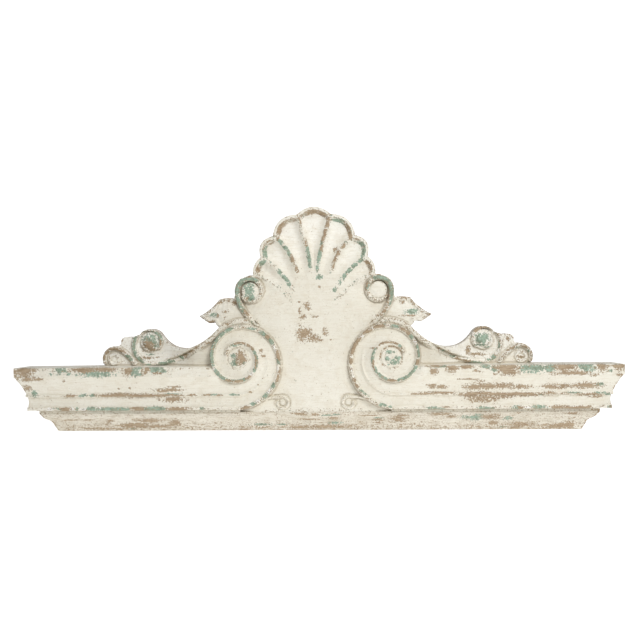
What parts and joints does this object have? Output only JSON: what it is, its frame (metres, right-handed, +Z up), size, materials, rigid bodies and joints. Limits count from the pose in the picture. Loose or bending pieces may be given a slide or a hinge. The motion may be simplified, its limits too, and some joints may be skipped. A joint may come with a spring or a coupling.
{
  "type": "door pediment",
  "caption": "Carved and painted wooden door pediment: a scallop shell between two large volutes, side scrolls and leaves on a crown moulding with a bed moulding below.",
  "frame": {"origin": "on the wall face, at the centre of the length and half way up the cornice", "axes": "+X along the length to the viewer's right, -Y out of the wall towards the viewer, +Z up"},
  "size_m": [1.524, 0.105, 0.574],
  "materials": {
    "painted_crown": "worn cream paint over green, bare wood showing",
    "painted_bed": "worn cream paint over green, bare wood showing"
  },
  "bodies": {
    "root": {"Carved_Crown": "painted_crown", "Bed_Moulding": "painted_bed"}
  },
  "joints": []
}
